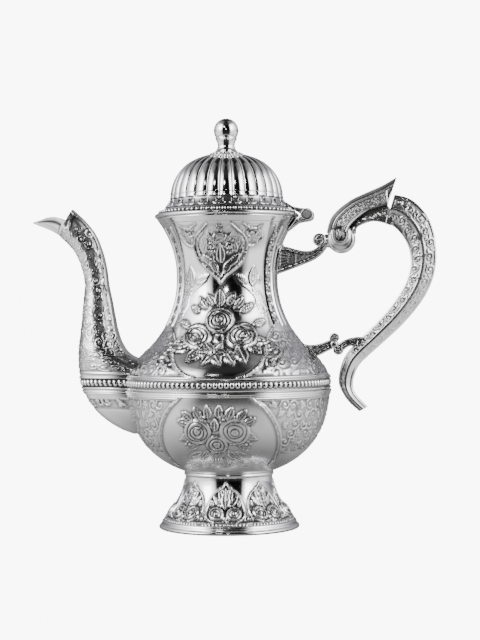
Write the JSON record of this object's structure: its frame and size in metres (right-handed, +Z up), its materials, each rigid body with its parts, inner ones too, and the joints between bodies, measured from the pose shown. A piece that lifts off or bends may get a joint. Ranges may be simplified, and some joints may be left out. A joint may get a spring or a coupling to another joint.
{
  "type": "dallah coffee pot",
  "caption": "Footed metal coffee pot with a beaded belt, a swan-neck spout with an open beak, a hinged fluted dome lid with a ball finial, and a keeled scroll handle.",
  "frame": {"origin": "centre of the foot's resting plane", "axes": "+Z up along the pot's turning axis, -X towards the spout, +X towards the handle, the pot mirrored about the XZ plane"},
  "size_m": [0.2596, 0.1326, 0.2613],
  "materials": {
    "plated_sheet": "embossed silver plate with dark patina in the recesses",
    "plated_spout": "embossed silver plate, heavier patina",
    "plated_casting": "cast and silver plated, worn patina",
    "plated_turned": "bright polished silver plate",
    "pin_steel": "drawn wire",
    "bare_brass": "bare machined brass"
  },
  "bodies": {
    "pot": {"foot_base_ring": "plated_turned", "foot": "plated_sheet", "foot_collar": "plated_turned", "lower_bowl": "plated_sheet", "belt_ring": "plated_turned", "upper_body": "plated_sheet", "mouth_ring": "plated_turned", "spout": "plated_spout", "spout_belly": "plated_spout", "spout_belt_ring": "plated_spout", "spout_beak": "plated_spout", "spout_strainer": "bare_brass", "upper_arm_pad": "plated_casting", "upper_arm": "plated_casting", "handle_volute": "plated_casting", "thumb_leaf": "plated_casting", "handle_grip": "plated_casting", "lower_arm_pad": "plated_casting", "lower_arm_inner": "plated_casting", "lower_arm_outer": "plated_casting", "hinge_body_leaf": "plated_casting", "hinge_pin": "pin_steel"},
    "lid": {"lid_plug_ring": "plated_turned", "lid_rim": "plated_turned", "lid_band": "plated_sheet", "lid_dome": "plated_sheet", "hinge_lid_leaf": "plated_casting", "finial_collar": "plated_turned", "finial": "plated_turned", "finial_stud": "bare_brass", "finial_washer": "bare_brass", "finial_nut": "bare_brass"}
  },
  "joints": [
    {"name": "lid_hinge", "type": "hinge", "parent": "pot", "child": "lid", "pos_m": [0.0518, 0, 0.1988], "axis": [0, 1, 0], "range_deg": [0, 102]}
  ]
}
